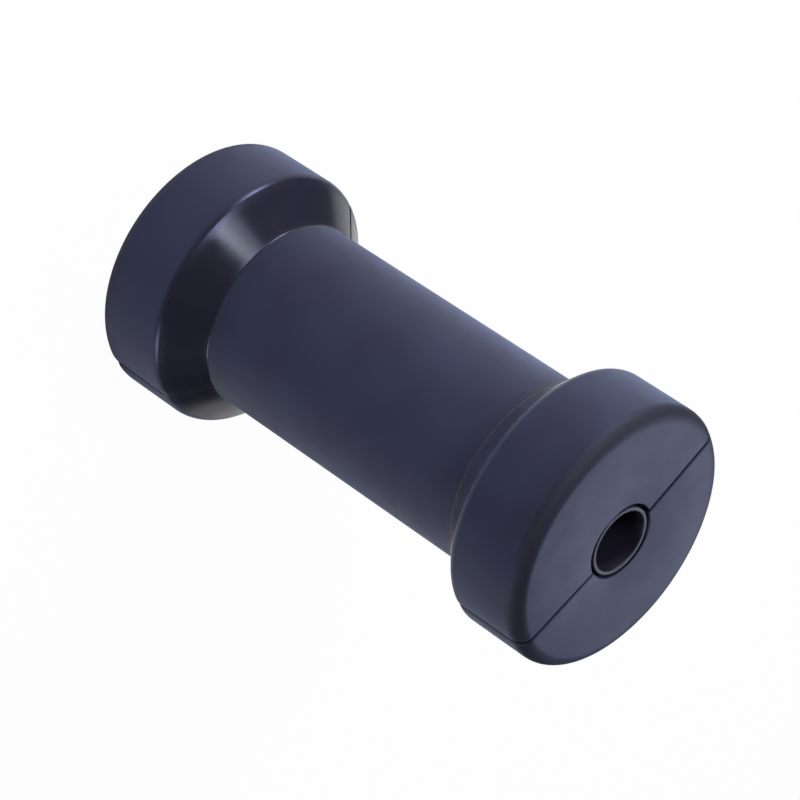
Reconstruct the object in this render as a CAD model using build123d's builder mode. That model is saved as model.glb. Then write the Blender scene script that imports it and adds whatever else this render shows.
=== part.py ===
from build123d import *
from math import radians, tan
import os

# Keel roller of a boat trailer: a rubber roller with two flanges, moulded round a thin liner tube.
# It stands on one end. The origin is the centre of the bottom end face and +Z runs along the bore.
# The mould parts on the XZ plane, and its two halves leave a fine groove there.

# Driving dimensions of the rubber, in millimetres and degrees
roller_length = 200.0
flange_diameter = 95.0
rim_length = 29.0
waist_diameter = 69.5
taper_angle = 45.0
end_round = 5.0
shoulder_round = 3.5

# Driving dimensions of the liner tube
liner_bore = 22.0
liner_wall = 1.5
liner_inset = 0.3

# Mouths of the hole, where the rubber flares clear of the liner at both ends
mouth_gap = 1.0
mouth_depth = 2.0
mouth_taper = 10.0

# How far the mouths spread along the parting plane, more on the +Y side than on the -Y side
wide_mouth_spread = 0.8
plain_mouth_spread = 0.2

# Bevelled lip that each half of the mould leaves along the parting groove
parting_lip = 0.35

# Sizes that follow
flange_radius = flange_diameter / 2
waist_radius = waist_diameter / 2
taper_length = (flange_radius - waist_radius) / tan(radians(taper_angle))
liner_radius = liner_bore / 2 + liner_wall
liner_length = roller_length - 2 * liner_inset
mouth_radius = liner_radius + mouth_gap
mid_height = roller_length / 2

# Section of the rubber from the bottom end up to its middle, on one side of the axis
with BuildSketch(Plane.XZ) as rubber_section:
    with BuildLine():
        outline = FilletPolyline(
            (liner_radius, 0),
            (flange_radius, 0),
            (flange_radius, rim_length),
            (waist_radius, rim_length + taper_length),
            radius=[end_round, shoulder_round],
        )
        Polyline(outline @ 1, (waist_radius, mid_height), (liner_radius, mid_height), outline @ 0)
    make_face()

# Each half of the rubber is half a turn of that section, mirrored to the full length.
# Its mouths are round, drawn out along the parting plane, and taper inwards.
# The edges on the parting plane are bevelled from one mouth, along the outside, to the other.
rubber_halves = []
for half_turn, spread in ((180, wide_mouth_spread), (-180, plain_mouth_spread)):
    with BuildPart() as rubber_half:
        revolve(rubber_section.sketch, axis=Axis.Z, revolution_arc=half_turn)
        with BuildSketch():
            SlotCenterToCenter(2 * spread, 2 * mouth_radius)
        extrude(amount=mouth_depth, taper=mouth_taper, mode=Mode.SUBTRACT)
        mirror(about=Plane.XY.offset(mid_height))
        mouth_edge = mouth_radius + spread
        parting_edges = rubber_half.edges().filter_by(Plane.XZ)
        outer_edges = parting_edges.filter_by(lambda edge: abs(edge.center().X) > mouth_edge)
        chamfer(outer_edges, parting_lip)
    rubber_halves.append(rubber_half.part)

# The rubber is one moulding, whole below the groove
with BuildPart() as roller_body:
    add(rubber_halves)

# Liner tube on which the roller turns, cut square just below the rubber's end faces
with BuildPart() as bore_liner:
    with BuildSketch(Plane.XY.offset(liner_inset)):
        Circle(liner_radius)
        Circle(liner_bore / 2, mode=Mode.SUBTRACT)
    extrude(amount=liner_length)

roller_body.part.label = "roller_body"
bore_liner.part.label = "bore_liner"

os.makedirs("parts", exist_ok=True)
export_step(roller_body.part, "parts/roller_body.step")
export_step(bore_liner.part, "parts/bore_liner.step")
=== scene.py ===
"""Dresses a moulded rubber keel roller: its rubber, its liner tube, a pale studio and the camera."""
import logging
from dataclasses import dataclass, field
from enum import Enum
from math import asin, atan2, cos, exp, hypot, pi, radians, sin, sqrt, tan

import bmesh
import bpy
from mathutils import Euler, Matrix, Vector, noise


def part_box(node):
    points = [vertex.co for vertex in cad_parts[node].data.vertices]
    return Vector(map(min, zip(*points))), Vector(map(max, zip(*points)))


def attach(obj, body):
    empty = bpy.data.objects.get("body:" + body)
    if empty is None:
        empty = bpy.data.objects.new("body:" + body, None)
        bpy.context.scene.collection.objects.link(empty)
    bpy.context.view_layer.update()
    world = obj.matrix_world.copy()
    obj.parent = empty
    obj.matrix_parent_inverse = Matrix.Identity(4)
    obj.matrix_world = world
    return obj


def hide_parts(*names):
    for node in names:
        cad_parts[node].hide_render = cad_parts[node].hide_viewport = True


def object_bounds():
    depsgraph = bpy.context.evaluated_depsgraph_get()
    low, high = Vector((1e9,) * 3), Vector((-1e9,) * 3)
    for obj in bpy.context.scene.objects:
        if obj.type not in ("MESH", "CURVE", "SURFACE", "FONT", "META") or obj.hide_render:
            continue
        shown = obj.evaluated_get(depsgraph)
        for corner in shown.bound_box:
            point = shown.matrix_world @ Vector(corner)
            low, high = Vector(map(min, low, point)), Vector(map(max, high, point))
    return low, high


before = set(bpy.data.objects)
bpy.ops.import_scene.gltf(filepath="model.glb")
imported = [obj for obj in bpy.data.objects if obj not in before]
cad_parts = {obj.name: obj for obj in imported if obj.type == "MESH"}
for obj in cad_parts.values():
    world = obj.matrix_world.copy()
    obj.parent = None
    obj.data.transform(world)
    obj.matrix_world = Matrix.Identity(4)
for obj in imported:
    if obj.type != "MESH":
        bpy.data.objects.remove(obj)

CAD_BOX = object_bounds()
MM = 0.001
WELD = 1e-6
CREASE = "crease"
# At a scale of 1, the Wave node's pattern turns by this many radians in a metre.
WAVE_RATE = 20

log = logging.getLogger("keel_roller")


class MouldHalf(Enum):
    """The two halves of the mould, by the side of the parting plane that each one forms."""

    WIDE = 1
    PLAIN = -1


class Background(Enum):
    """The rays that see the studio's white, as the Light Path node names them."""

    CAMERA = "Is Camera Ray"
    GLOSSY = "Is Glossy Ray"
    TRANSMISSION = "Is Transmission Ray"


def smooth_step(value: float, low: float, high: float) -> float:
    """Eases from 0, up to the low value, to 1, from the high value on."""
    share = min(1.0, max(0.0, (value - low) / (high - low)))
    return share * share * (3 - 2 * share)


@dataclass(frozen=True)
class Corner:
    """A corner of a section, with the round that it gets and the cuts of the run after it."""

    radius: float
    height: float
    round: float = 0.0
    segments: int = 1
    cuts_after: int = 0


@dataclass
class Section:
    """An outline in the XZ plane, from which a round body is spun."""

    corners: list[Corner]
    closed: bool = False

    def draw(self, mesh: bmesh.types.BMesh) -> None:
        """Draws the outline as wire edges, with its runs cut up and its corners rounded.

        Args:
            mesh: The empty mesh that receives the wire.
        """
        points = [mesh.verts.new((corner.radius, 0, corner.height)) for corner in self.corners]
        ends = points[1:] + points[:1] if self.closed else points[1:]
        runs = [mesh.edges.new(pair) for pair in zip(points, ends)]
        turns = [self._reach(place) for place in range(len(self.corners))]
        for point, corner, reach in zip(points, self.corners, turns):
            if corner.round:
                bmesh.ops.bevel(
                    mesh, geom=[point], offset=reach, offset_type="OFFSET", segments=corner.segments,
                    profile=0.5, affect="VERTICES", material=-1, clamp_overlap=False,
                )
        for run, corner in zip(runs, self.corners):
            if corner.cuts_after and run.is_valid:
                bmesh.ops.subdivide_edges(mesh, edges=[run], cuts=corner.cuts_after)

    def _reach(self, place: int) -> float:
        """Finds how far a corner's round reaches along its two runs.

        Args:
            place: The corner's place in the list.

        Returns:
            The distance from the corner to where its arc starts.
        """
        here = self.corners[place]
        if not here.round:
            return 0.0
        before, after = self.corners[place - 1], self.corners[(place + 1) % len(self.corners)]
        coming = atan2(here.height - before.height, here.radius - before.radius)
        going = atan2(after.height - here.height, after.radius - here.radius)
        turn = abs((going - coming + pi) % (2 * pi) - pi)
        return here.round * tan(turn / 2)


def spin_quarter(mesh: bmesh.types.BMesh, steps: int) -> None:
    """Spins a wire a quarter turn about the Z axis.

    Args:
        mesh: The mesh that holds the wire, in the XZ plane.
        steps: The steps of the quarter turn.
    """
    wire = mesh.verts[:] + mesh.edges[:]
    bmesh.ops.spin(
        mesh, geom=wire, cent=(0, 0, 0), axis=(0, 0, 1), dvec=(0, 0, 0), angle=pi / 2, steps=steps,
        use_merge=False,
    )


def mirror_whole(mesh: bmesh.types.BMesh, axes: str) -> None:
    """Mirrors all that the mesh holds through the origin and welds it along the mirrors.

    Args:
        mesh: The mesh to double.
        axes: The axes along which it is mirrored, one letter each.
    """
    for axis in axes:
        whole = mesh.verts[:] + mesh.edges[:] + mesh.faces[:]
        bmesh.ops.mirror(mesh, geom=whole, matrix=Matrix.Identity(4), merge_dist=WELD, axis=axis)
        bmesh.ops.remove_doubles(mesh, verts=mesh.verts[:], dist=WELD)


def slide_up(mesh: bmesh.types.BMesh, height: float) -> None:
    """Moves all that the mesh holds up along Z."""
    bmesh.ops.translate(mesh, verts=mesh.verts[:], vec=(0, 0, height))


def make_piece(name: str, mesh: bmesh.types.BMesh, material: bpy.types.Material) -> bpy.types.Object:
    """Turns a finished mesh into a smooth shaded piece at the origin.

    Args:
        name: The piece's name.
        mesh: The finished mesh, which is freed.
        material: The finish of the whole piece.

    Returns:
        The piece, linked to the scene.
    """
    data = bpy.data.meshes.new(name)
    mesh.to_mesh(data)
    mesh.free()
    data.shade_smooth()
    data.materials.append(material)
    piece = bpy.data.objects.new(name, data)
    bpy.context.scene.collection.objects.link(piece)
    return piece


@dataclass
class RollerBody:
    """The rubber, moulded in two halves that meet in a fine groove on the XZ plane.

    On the -X side the mouths are less drawn out and the groove is finer on the end faces, but the two rims
    have a shallow hollow beside it. The groove's rows are in millimetres from the parting plane.
    """

    length: float
    flange_radius: float
    liner_radius: float
    rim_length: float = 29 * MM
    waist_radius: float = 34.75 * MM
    taper_length: float = 12.75 * MM
    end_round: float = 5 * MM
    shoulder_round: float = 3.5 * MM
    waist_round: float = 1 * MM
    throat_gap: float = 0.6 * MM
    mouth_gap: float = 0.8 * MM
    mouth_depth: float = 2 * MM
    mouth_round: float = 0.35 * MM
    mouth_reach: float = 4.5 * MM
    mouth_spread: dict[MouldHalf, float] = field(
        default_factory=lambda: {MouldHalf.WIDE: 0.8 * MM, MouldHalf.PLAIN: 0.2 * MM}
    )
    mouth_narrow_share: float = 0.5
    steps: int = 96
    seam_rows: tuple[float, ...] = (0, 0.08, 0.16, 0.22, 0.28, 0.34, 0.42, 0.55, 0.75, 1.1)
    seam_depth: float = 1.7 * MM
    seam_half_width: float = 0.42 * MM
    seam_sharpness: float = 2.2
    seam_level: float = 0.85
    seam_unevenness: float = 0.4
    seam_spot_size: float = 14 * MM
    seam_fine_share: float = 0.7
    seam_faint: float = 0.03
    sway_reach: float = 7 * MM
    sway_start: float = 0.3
    sway_mouth: float = -0.5 * MM
    sway_rim: float = 1.2 * MM
    sway_narrow_rim: float = 0.3 * MM
    lip_depth: float = 0.5 * MM
    lip_half_width: float = 2.2 * MM
    wave_height: float = 0.07 * MM
    wave_length: float = 24 * MM

    @property
    def mouth_radius(self) -> float:
        """The radius of the hole at the end faces, before it is drawn out."""
        return self.liner_radius + self.mouth_gap

    def section(self) -> Section:
        """Gives the outline of the rubber's lower half.

        Returns:
            The outline from the hole round to the waist, open at the middle.
        """
        middle = self.length / 2
        throat = self.liner_radius + self.throat_gap
        taper_end = self.rim_length + self.taper_length
        return Section(
            [
                Corner(self.liner_radius, middle, cuts_after=3),
                Corner(self.liner_radius, self.mouth_depth, cuts_after=1),
                Corner(throat, self.mouth_depth, cuts_after=2),
                Corner(self.mouth_radius, 0, self.mouth_round, segments=5, cuts_after=18),
                Corner(self.flange_radius, 0, self.end_round, segments=14, cuts_after=9),
                Corner(self.flange_radius, self.rim_length, self.shoulder_round, segments=8, cuts_after=7),
                Corner(self.waist_radius, taper_end, self.waist_round, segments=4, cuts_after=21),
                Corner(self.waist_radius, middle),
            ]
        )

    def build(self, material: bpy.types.Material) -> bpy.types.Object:
        """Builds the rubber as one closed shell.

        Args:
            material: The rubber's finish.

        Returns:
            The piece that stands for the solid rubber.
        """
        mesh = bmesh.new()
        self.section().draw(mesh)
        spin_quarter(mesh, self.steps)
        self._gather_rows(mesh)
        slide_up(mesh, -self.length / 2)
        mirror_whole(mesh, "XYZ")
        slide_up(mesh, self.length / 2)
        bmesh.ops.recalc_face_normals(mesh, faces=mesh.faces[:])
        mesh.normal_update()
        self._shape(mesh)
        return make_piece("rubber_body", mesh, material)

    def _gather_rows(self, mesh: bmesh.types.BMesh) -> None:
        """Moves the first rows of the quarter turn to fixed distances from the parting plane.

        Args:
            mesh: The mesh of the quarter turn.
        """
        step = pi / 2 / self.steps
        last = len(self.seam_rows) - 1
        for vertex in mesh.verts:
            radius = hypot(vertex.co.x, vertex.co.y)
            row = round(atan2(vertex.co.y, vertex.co.x) / step)
            if row <= last:
                angle = asin(self.seam_rows[row] * MM / radius)
            else:
                edge = asin(self.seam_rows[last] * MM / radius)
                angle = edge + (pi / 2 - edge) * (row - last) / (self.steps - last)
            vertex.co.x, vertex.co.y = radius * cos(angle), radius * sin(angle)

    def _shape(self, mesh: bmesh.types.BMesh) -> None:
        """Gives the spun shell its groove, its drawn out mouths and the unevenness of real rubber.

        The groove is also marked with an attribute, which the finish reads to paint shade down in the groove.

        Args:
            mesh: The mirrored shell, with its normals up to date.
        """
        crease = mesh.verts.layers.float.new(CREASE)
        moves = [(vertex, self._moved(vertex)) for vertex in mesh.verts]
        for vertex, place in moves:
            vertex[crease] = self._seam_depth(vertex.co) / self.seam_depth
            vertex.co = place

    def _from_end(self, place: Vector) -> float:
        """Gives how far a point lies from the nearer end."""
        return min(place.z, self.length - place.z)

    def _moved(self, vertex: bmesh.types.BMVert) -> Vector:
        """Works out where a vertex of the shell ends up.

        Args:
            vertex: A vertex of the shell.

        Returns:
            Its final place.
        """
        place = vertex.co.copy()
        hidden = hypot(place.x, place.y) < self.liner_radius + self.mouth_gap / 2
        if hidden:
            return place
        depth = self._seam_depth(place) + self._lip_depth(place) + self._wave(place)
        place = self._spread_mouth(place) - vertex.normal * depth
        place.y += self._seam_sway(vertex.co)
        return place

    def _seam_depth(self, place: Vector) -> float:
        """Gives the depth of the parting groove, a narrow crease between two soft lips.

        Args:
            place: A point of the shell.

        Returns:
            How far the surface lies below its own level there.
        """
        fine = place.x < 0 and hypot(place.x, place.y) < self.flange_radius - self.end_round
        across = abs(place.y) / (self.seam_half_width * (self.seam_fine_share if fine else 1))
        spot = noise.noise(Vector((place.x, 0, place.z)) / self.seam_spot_size)
        uneven = self.seam_level + self.seam_unevenness * spot
        faint_from = self.rim_length + (self.taper_length if place.x > 0 else 0)
        faint = smooth_step(self._from_end(place), faint_from - self.shoulder_round, faint_from)
        share = 1 - (1 - self.seam_faint) * faint
        return self.seam_depth * uneven * share * exp(-(across**self.seam_sharpness))

    def _lip_depth(self, place: Vector) -> float:
        """Gives the shallow hollow beside the groove, on the -X side of the two rims.

        Args:
            place: A point of the shell.

        Returns:
            How far the surface lies below its own level there.
        """
        fades_from, fades_to = self.rim_length - self.shoulder_round, self.rim_length + self.shoulder_round
        on_rim = 1 - smooth_step(self._from_end(place), fades_from, fades_to)
        outside = smooth_step(-place.x, self.flange_radius - self.end_round, self.flange_radius)
        return self.lip_depth * on_rim * outside * exp(-((place.y / self.lip_half_width) ** 2))

    def _seam_sway(self, place: Vector) -> float:
        """Gives how far the groove strays from the parting plane.

        Args:
            place: A point of the shell.

        Returns:
            The shift along Y.
        """
        middle = self.length / 2
        near = exp(-((place.y / self.sway_reach) ** 2))
        outward = smooth_step(abs(place.x), self.mouth_radius, self.flange_radius)
        rim = self.sway_rim if place.x > 0 else self.sway_narrow_rim
        end_share = smooth_step(abs(place.z - middle), self.sway_start * self.length, middle)
        return near * end_share * (self.sway_mouth + (rim - self.sway_mouth) * outward)

    def _spread_mouth(self, place: Vector) -> Vector:
        """Draws the mouths out along the parting plane.

        Args:
            place: A point of the shell.

        Returns:
            The point's new place, at the same height.
        """
        if self._from_end(place) > self.mouth_depth + WELD:
            return place
        radius, mouth = hypot(place.x, place.y), self.mouth_radius
        spread = self.mouth_spread[MouldHalf.WIDE if place.y >= 0 else MouldHalf.PLAIN]
        spread *= 1 if place.x > 0 else self.mouth_narrow_share
        along, across = abs(place.x) / radius, abs(place.y) / radius
        drawn = spread * along + sqrt(mouth**2 - (spread * across) ** 2)
        outside = min(drawn, mouth / max(across, WELD))
        share = 1 - smooth_step(radius, mouth + self.mouth_round, mouth + self.mouth_reach)
        factor = 1 + (outside / mouth - 1) * share
        return Vector((place.x * factor, place.y * factor, place.z))

    def _wave(self, place: Vector) -> float:
        """Gives how far the shallow waves of a cooled moulding lie below its level, never above it."""
        return self.wave_height * (0.5 + 0.5 * noise.noise(place / self.wave_length))


@dataclass
class LinerTube:
    """The plain tube in the rubber's hole, with softened cut edges."""

    radius: float
    low: float
    high: float
    wall: float = 1.5 * MM
    edge_round: float = 0.35 * MM
    steps: int = 40

    def build(self, material: bpy.types.Material) -> bpy.types.Object:
        """Builds the tube as one closed shell.

        Args:
            material: The tube's finish.

        Returns:
            The piece that stands for the solid tube.
        """
        mesh = bmesh.new()
        inner = self.radius - self.wall
        Section(
            [
                Corner(inner, self.low, self.edge_round, segments=4, cuts_after=2),
                Corner(self.radius, self.low, self.edge_round, segments=4, cuts_after=12),
                Corner(self.radius, self.high, self.edge_round, segments=4, cuts_after=2),
                Corner(inner, self.high, self.edge_round, segments=4, cuts_after=24),
            ],
            closed=True,
        ).draw(mesh)
        spin_quarter(mesh, self.steps)
        mirror_whole(mesh, "XY")
        bmesh.ops.recalc_face_normals(mesh, faces=mesh.faces[:])
        return make_piece("liner_tube", mesh, material)


class NodeSheet:
    """A material's or a world's nodes, laid out from left to right."""

    def __init__(self, owner: bpy.types.Material | bpy.types.World) -> None:
        """Empties the owner's node tree.

        Args:
            owner: The material or world to lay out.
        """
        owner.use_nodes = True
        self.tree = owner.node_tree
        self.tree.nodes.clear()

    def add(
        self, kind: str, inputs: dict[str | int, object] | None = None, **settings: object
    ) -> bpy.types.Node:
        """Adds a node.

        Args:
            kind: The node's type.
            inputs: Values or output sockets for its inputs, by name or place.
            **settings: Values for its properties.

        Returns:
            The new node.
        """
        node = self.tree.nodes.new(kind)
        node.location.x = 220 * len(self.tree.nodes)
        for name, value in settings.items():
            setattr(node, name, value)
        for name, value in (inputs or {}).items():
            if isinstance(value, bpy.types.NodeSocket):
                self.tree.links.new(value, node.inputs[name])
            else:
                node.inputs[name].default_value = value
        return node

    def noise(
        self, coordinates: bpy.types.NodeSocket, size: float, detail: float = 2.0
    ) -> bpy.types.NodeSocket:
        """Adds a noise pattern with spots of a size in metres, about 0.5 on average."""
        pattern = self.add("ShaderNodeTexNoise", {"Vector": coordinates, "Scale": 1 / size, "Detail": detail})
        return pattern.outputs["Fac"]

    def spread(
        self, value: bpy.types.NodeSocket, low: float, high: float, start: float = 0.35, end: float = 0.65
    ) -> bpy.types.NodeSocket:
        """Maps a value, from low at its start to high at its end, and keeps it between the two."""
        settings = {"Value": value, "From Min": start, "From Max": end, "To Min": low, "To Max": high}
        return self.add("ShaderNodeMapRange", settings).outputs["Result"]

    def math(
        self,
        operation: str,
        first: bpy.types.NodeSocket | float,
        second: bpy.types.NodeSocket | float = 0.0,
    ) -> bpy.types.NodeSocket:
        """Adds a sum on one or two numbers, named as the Math node names it."""
        return self.add("ShaderNodeMath", {0: first, 1: second}, operation=operation).outputs[0]

    def blend(
        self,
        share: bpy.types.NodeSocket,
        first: bpy.types.NodeSocket,
        second: bpy.types.NodeSocket | float,
    ) -> bpy.types.NodeSocket:
        """Blends two numbers by the share of the second one."""
        return self.add("ShaderNodeMix", {0: share, 2: first, 3: second}, data_type="FLOAT").outputs[0]

    def mix(
        self,
        share: bpy.types.NodeSocket,
        first: tuple[float, ...],
        second: tuple[float, ...] | bpy.types.NodeSocket,
    ) -> bpy.types.NodeSocket:
        """Mixes two colours.

        Args:
            share: The share of the second colour.
            first: The colour at 0.
            second: The colour at 1.

        Returns:
            The mixed colour.
        """
        last = second if isinstance(second, bpy.types.NodeSocket) else (*second, 1)
        mixed = self.add("ShaderNodeMix", {0: share, 6: (*first, 1), 7: last}, data_type="RGBA")
        return mixed.outputs[2]

    def from_axis(self, place: bpy.types.NodeSocket) -> bpy.types.NodeSocket:
        """Finds how far a place in object coordinates lies from the Z axis."""
        flat = self.add("ShaderNodeVectorMath", {0: place, 1: (1, 1, 0)}, operation="MULTIPLY").outputs[0]
        return self.add("ShaderNodeVectorMath", {0: flat}, operation="LENGTH").outputs["Value"]

    def bump(
        self, height: bpy.types.NodeSocket, distance: float, strength: float = 1.0
    ) -> bpy.types.NodeSocket:
        """Turns a pattern into a relief of a height in metres."""
        inputs = {"Height": height, "Strength": strength, "Distance": distance}
        return self.add("ShaderNodeBump", inputs).outputs["Normal"]


@dataclass(frozen=True)
class RubberFinish:
    """Satin blue-black moulded rubber, glossy on the tapers and dull on the round end edges.

    The tints colour what it mirrors face on, and the bloom is a bluish haze that shows at grazing angles.
    Shade is painted: a deeper blue on the tapers and end edges, near black in the mouths and groove.
    """

    middle: float
    mouth_radius: float
    name: str = "moulded_rubber"
    darkest: tuple[float, float, float] = (0.0130, 0.0105, 0.0155)
    lightest: tuple[float, float, float] = (0.0180, 0.0195, 0.0290)
    # Painted shade on the tapers and end edges, a deeper blue than the blotched rubber.
    painted_shade_blue: tuple[float, float, float] = (0.0175, 0.0170, 0.0310)
    # Painted shade: near black in the mouths and down in the groove.
    hollow: tuple[float, float, float] = (0.004, 0.004, 0.006)
    satin_tint: tuple[float, float, float] = (0.28, 0.30, 0.72)
    polished_tint: tuple[float, float, float] = (0.30, 0.33, 0.41)
    reflection: float = 0.8
    bloom: float = 0.4
    bloom_roughness: float = 0.45
    bloom_tint: tuple[float, float, float] = (0.3, 0.45, 1.0)
    satin: tuple[float, float] = (0.41, 0.46)
    polished: tuple[float, float] = (0.16, 0.20)
    dull: float = 0.68
    polish_start: float = 55 * MM
    polish_end: float = 73 * MM
    polish_blend: float = 5 * MM
    edge_height: tuple[float, float] = (94.5 * MM, 97.5 * MM)
    edge_radius: tuple[float, float] = (42 * MM, 46 * MM)
    crease_range: tuple[float, float] = (0.02, 0.25)
    mouth_blend: float = 0.2 * MM
    blotch_size: float = 26 * MM
    gloss_blotch_size: float = 26 * MM / 3
    grain_size: float = 0.6 * MM
    grain_height: float = 0.004 * MM

    def make(self) -> bpy.types.Material:
        """Makes the material, with blotches in its colour and gloss and a fine grain in its bump.

        Returns:
            The material.
        """
        material = bpy.data.materials.new(self.name)
        sheet = NodeSheet(material)
        place = sheet.add("ShaderNodeTexCoord").outputs["Object"]
        height = sheet.add("ShaderNodeSeparateXYZ", {0: place}).outputs["Z"]
        from_middle = sheet.math("ABSOLUTE", sheet.math("SUBTRACT", height, self.middle))
        radius = sheet.from_axis(place)
        polish = self._polish(sheet, from_middle)
        edge = self._edge(sheet, from_middle, radius)
        deep = sheet.math("MAXIMUM", polish, edge)
        # Painted shade: the mouths and the groove get a near-black colour and lose their reflection and
        # bloom.
        shown = self._unshaded(sheet, radius)
        bloom = sheet.spread(deep, self.bloom, 0, start=0, end=1)
        grain = sheet.noise(place, self.grain_size, detail=3)
        skin = sheet.add(
            "ShaderNodeBsdfPrincipled",
            {
                "Base Color": sheet.mix(shown, self.hollow, self._colour(sheet, place, deep)),
                "Roughness": self._gloss(sheet, place, polish, edge),
                "IOR": 1.5,
                "Specular IOR Level": sheet.spread(shown, 0, self.reflection, start=0, end=1),
                "Specular Tint": sheet.mix(deep, self.satin_tint, self.polished_tint),
                "Sheen Weight": sheet.math("MULTIPLY", bloom, shown),
                "Sheen Roughness": self.bloom_roughness,
                "Sheen Tint": (*self.bloom_tint, 1),
                "Normal": sheet.bump(grain, self.grain_height),
            },
        )
        sheet.add("ShaderNodeOutputMaterial", {"Surface": skin.outputs["BSDF"]})
        return material

    def _gloss(
        self,
        sheet: NodeSheet,
        place: bpy.types.NodeSocket,
        polish: bpy.types.NodeSocket,
        edge: bpy.types.NodeSocket,
    ) -> bpy.types.NodeSocket:
        """Gives the rubber its gloss, in weak blotches.

        Args:
            sheet: The material's nodes.
            place: The object coordinates.
            polish: 1 on the tapers.
            edge: 1 on the round end edges.

        Returns:
            The roughness.
        """
        blotches = sheet.noise(place, self.gloss_blotch_size)
        satin = sheet.spread(blotches, *self.satin)
        polished = sheet.spread(blotches, *self.polished)
        return sheet.blend(edge, sheet.blend(polish, satin, polished), self.dull)

    def _colour(
        self, sheet: NodeSheet, place: bpy.types.NodeSocket, deep: bpy.types.NodeSocket
    ) -> bpy.types.NodeSocket:
        """Colours the rubber's outside, with painted shade in a deeper blue on its tapers and end edges.

        Args:
            sheet: The material's nodes.
            place: The object coordinates.
            deep: 1 on the tapers and end edges, where shade is painted.

        Returns:
            The colour.
        """
        blotches = sheet.spread(sheet.noise(place, self.blotch_size), 0, 1)
        rubber = sheet.mix(blotches, self.darkest, self.lightest)
        # Painted shade: the tapers and end edges take the deeper blue instead of the blotches.
        return sheet.mix(sheet.math("SUBTRACT", 1.0, deep), self.painted_shade_blue, rubber)

    def _unshaded(self, sheet: NodeSheet, radius: bpy.types.NodeSocket) -> bpy.types.NodeSocket:
        """Finds the open surface, which the light of the room reaches; the mouths and the groove get painted
        shade.

        Args:
            sheet: The material's nodes.
            radius: The distance from the axis.

        Returns:
            0 in the mouths and down in the groove, where shade is painted, and 1 elsewhere.
        """
        opened = sheet.spread(radius, 0, 1, self.mouth_radius, self.mouth_radius + self.mouth_blend)
        crease = sheet.add("ShaderNodeAttribute", attribute_name=CREASE).outputs["Fac"]
        return sheet.math("MULTIPLY", opened, sheet.spread(crease, 1, 0, *self.crease_range))

    def _polish(self, sheet: NodeSheet, from_middle: bpy.types.NodeSocket) -> bpy.types.NodeSocket:
        """Finds the two tapers.

        Args:
            sheet: The material's nodes.
            from_middle: The distance from the roller's middle height.

        Returns:
            1 on the tapers and 0 elsewhere.
        """
        begins = sheet.spread(from_middle, 0, 1, self.polish_start, self.polish_start + self.polish_blend)
        ends = sheet.spread(from_middle, 1, 0, self.polish_end - self.polish_blend, self.polish_end)
        return sheet.math("MULTIPLY", begins, ends)

    def _edge(
        self, sheet: NodeSheet, from_middle: bpy.types.NodeSocket, radius: bpy.types.NodeSocket
    ) -> bpy.types.NodeSocket:
        """Finds the round edges of the two ends.

        Args:
            sheet: The material's nodes.
            from_middle: The distance from the roller's middle height.
            radius: The distance from the axis.

        Returns:
            1 on the round edges and 0 elsewhere.
        """
        near_end = sheet.spread(from_middle, 0, 1, *self.edge_height)
        near_rim = sheet.spread(radius, 0, 1, *self.edge_radius)
        return sheet.math("MULTIPLY", near_end, near_rim)


@dataclass(frozen=True)
class LinerFinish:
    """Smooth black plastic, with faint rings left by the tool that cut it and an inner wall darker than its
    cut ends.
    """

    inner_radius: float
    name: str = "liner_plastic"
    inside: tuple[float, float, float] = (0.013, 0.0115, 0.022)
    darkest: tuple[float, float, float] = (0.020, 0.021, 0.036)
    lightest: tuple[float, float, float] = (0.030, 0.033, 0.056)
    reflection_tint: tuple[float, float, float] = (0.6, 0.7, 1.0)
    reflection: float = 0.6
    roughness: tuple[float, float] = (0.34, 0.42)
    cut_start: float = 0.04 * MM
    cut_end: float = 0.14 * MM
    spot_size: float = 3 * MM
    ring_spacing: float = pi / 2 * MM
    ring_height: float = 0.01 * MM

    def make(self) -> bpy.types.Material:
        """Makes the material, with soft spots in its colour and gloss and rings in its bump.

        Returns:
            The material.
        """
        material = bpy.data.materials.new(self.name)
        sheet = NodeSheet(material)
        place = sheet.add("ShaderNodeTexCoord").outputs["Object"]
        spots = sheet.noise(place, self.spot_size, detail=3)
        scale = 2 * pi / WAVE_RATE / self.ring_spacing
        rings = sheet.add(
            "ShaderNodeTexWave",
            {"Vector": place, "Scale": scale, "Distortion": 1.5, "Detail": 2},
            wave_type="RINGS",
            rings_direction="Z",
        ).outputs["Fac"]
        cut_face = sheet.mix(spots, self.darkest, self.lightest)
        skin = sheet.add(
            "ShaderNodeBsdfPrincipled",
            {
                "Base Color": sheet.mix(self._cut(sheet, place), self.inside, cut_face),
                "Roughness": sheet.spread(spots, *self.roughness),
                "IOR": 1.5,
                "Specular IOR Level": self.reflection,
                "Specular Tint": (*self.reflection_tint, 1),
                "Normal": sheet.bump(rings, self.ring_height, strength=0.5),
            },
        )
        sheet.add("ShaderNodeOutputMaterial", {"Surface": skin.outputs["BSDF"]})
        return material

    def _cut(self, sheet: NodeSheet, place: bpy.types.NodeSocket) -> bpy.types.NodeSocket:
        """Finds the tube's cut ends: 0 on the inner wall and 1 on the rest."""
        start, end = self.inner_radius + self.cut_start, self.inner_radius + self.cut_end
        return sheet.spread(sheet.from_axis(place), 0, 1, start, end)


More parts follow.
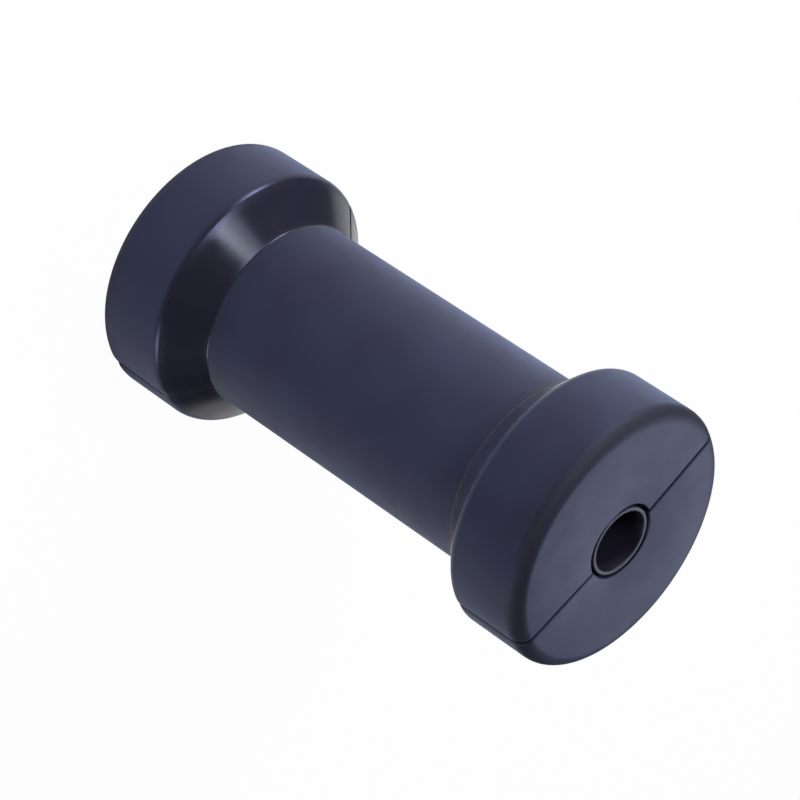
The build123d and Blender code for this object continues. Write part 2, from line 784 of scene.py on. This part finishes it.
@dataclass(frozen=True)
class SoftLamp:
    """A large square lamp that looks at the roller's middle, placed by two angles in degrees."""

    name: str
    azimuth: float
    elevation: float
    distance: float
    size: float
    radiance: float

    def place(self, target: Vector) -> None:
        """Hangs the lamp.

        Args:
            target: The point that it looks at.
        """
        data = bpy.data.lights.new(self.name, "AREA")
        data.shape = "SQUARE"
        data.size = self.size
        data.energy = self.radiance * pi * self.size**2
        lamp = bpy.data.objects.new(self.name, data)
        turn, rise = radians(self.azimuth), radians(self.elevation)
        away = Vector((cos(turn) * cos(rise), sin(turn) * cos(rise), sin(rise)))
        lamp.location = target + away * self.distance
        lamp.rotation_euler = away.to_track_quat("Z", "Y").to_euler()
        bpy.context.scene.collection.objects.link(lamp)


@dataclass
class Studio:
    """A pale floor, a pale surround and soft lamps.

    The rubber mirrors only a little of the floor's white, because all of it would wash out its dark middle.
    """

    target: Vector
    floor_radius: float = 6.0
    floor_colour: tuple[float, float, float] = (0.88, 0.88, 0.88)
    floor_shade: float = 0.99
    floor_spot_size: float = 0.3
    floor_white: dict[Background, float] = field(
        default_factory=lambda: {
            Background.CAMERA: 0.97,
            Background.GLOSSY: 0.1,
            Background.TRANSMISSION: 0.97,
        }
    )
    surround: float = 0.05
    lamps: tuple[SoftLamp, ...] = (
        SoftLamp("key_softbox", azimuth=68, elevation=50, distance=1.3, size=0.3, radiance=27.0),
        SoftLamp("key_spread", azimuth=64, elevation=40, distance=1.3, size=0.4, radiance=3.3),
        SoftLamp("low_softbox", azimuth=38, elevation=10, distance=1.3, size=0.42, radiance=19.0),
        SoftLamp("left_softbox", azimuth=184, elevation=10, distance=1.3, size=0.42, radiance=8.5),
        SoftLamp("right_softbox", azimuth=325, elevation=48, distance=0.8, size=0.4, radiance=2.2),
        SoftLamp("back_softbox", azimuth=296, elevation=30, distance=1.0, size=0.5, radiance=1.7),
    )

    def build(self) -> None:
        """Lays the floor, lights the surround and hangs the lamps."""
        self._lay_floor()
        self._light_surround()
        for lamp in self.lamps:
            lamp.place(self.target)

    def _lay_floor(self) -> None:
        """Lays the floor, a wide round plate just under the roller."""
        mesh = bmesh.new()
        bmesh.ops.create_circle(mesh, cap_ends=True, segments=96, radius=self.floor_radius)
        floor = make_piece("studio_floor", mesh, self._floor_material())

    def _floor_material(self) -> bpy.types.Material:
        """Makes the floor's finish, whose white shows as background and which keeps the shadow.

        Returns:
            The material.
        """
        material = bpy.data.materials.new("pale_floor")
        sheet = NodeSheet(material)
        rays = sheet.add("ShaderNodeLightPath")
        share = None
        for background, part in self.floor_white.items():
            seen = sheet.math("MULTIPLY", rays.outputs[background.value], part)
            share = seen if share is None else sheet.math("ADD", share, seen)
        place = sheet.add("ShaderNodeTexCoord").outputs["Object"]
        shade = tuple(self.floor_shade * part for part in self.floor_colour)
        colour = sheet.mix(sheet.noise(place, self.floor_spot_size), self.floor_colour, shade)
        paint = sheet.add("ShaderNodeBsdfDiffuse", {"Color": colour})
        white = sheet.add("ShaderNodeEmission", {"Strength": 1.0})
        mixed = sheet.add("ShaderNodeMixShader", {0: share, 1: paint.outputs[0], 2: white.outputs[0]})
        sheet.add("ShaderNodeOutputMaterial", {"Surface": mixed.outputs[0]})
        return material

    def _light_surround(self) -> None:
        """Lights the surround, white to the camera and dimmer to the roller."""
        world = bpy.data.worlds.new("pale_surround")
        bpy.context.scene.world = world
        sheet = NodeSheet(world)
        rays = sheet.add("ShaderNodeLightPath")
        seen = rays.outputs[Background.CAMERA.value]
        strength = sheet.spread(seen, self.surround, 1.0, start=0, end=1)
        glow = sheet.add("ShaderNodeBackground", {"Strength": strength})
        sheet.add("ShaderNodeOutputWorld", {"Surface": glow.outputs[0]})


@dataclass(frozen=True)
class PhotoCamera:
    """The camera at the photograph's viewing angle, fitted to the roller's outline and mouth."""

    lens: float = 153.304
    sensor: float = 36.0
    position: tuple[float, float, float] = (-0.27132, 0.91246, 0.72173)
    target: tuple[float, float, float] = (-0.00149, -0.00063, 0.10028)
    roll: float = 123.850

    def place(self) -> None:
        """Makes the camera and gives it to the scene."""
        data = bpy.data.cameras.new("photo_camera")
        data.lens = self.lens
        data.sensor_width = self.sensor
        camera = bpy.data.objects.new("photo_camera", data)
        away = Vector(self.position) - Vector(self.target)
        upright = away.to_track_quat("Z", "Y")
        camera.rotation_mode = "QUATERNION"
        camera.rotation_quaternion = upright @ Euler((0, 0, radians(self.roll))).to_quaternion()
        camera.location = self.position
        bpy.context.scene.collection.objects.link(camera)
        bpy.context.scene.camera = camera


def dress_roller() -> None:
    """Builds the roller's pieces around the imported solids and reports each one."""
    rubber_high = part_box("roller_body")[1]
    liner_low, liner_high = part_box("bore_liner")
    tube = LinerTube(liner_high.y, liner_low.z, liner_high.z)
    moulding = RollerBody(rubber_high.z, rubber_high.y, liner_high.y)
    rubber = RubberFinish(moulding.length / 2, moulding.mouth_radius)
    body = moulding.build(rubber.make())
    liner = tube.build(LinerFinish(tube.radius - tube.wall).make())
    for piece, node, slot in ((body, "roller_body", "rubber"), (liner, "bore_liner", "liner_plastic")):
        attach(piece, "root")
        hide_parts(node)
        log.info("%s stands for %s with %d faces", piece.name, node, len(piece.data.polygons))


def main() -> None:
    """Builds the roller, its studio and its camera."""
    logging.basicConfig(level=logging.INFO, format="%(name)s: %(message)s")
    bpy.context.scene.view_settings.view_transform = "Standard"
    dress_roller()
    low, high = CAD_BOX
    Studio(target=(low + high) / 2).build()
    PhotoCamera().place()


if __name__ == "__main__":
    main()
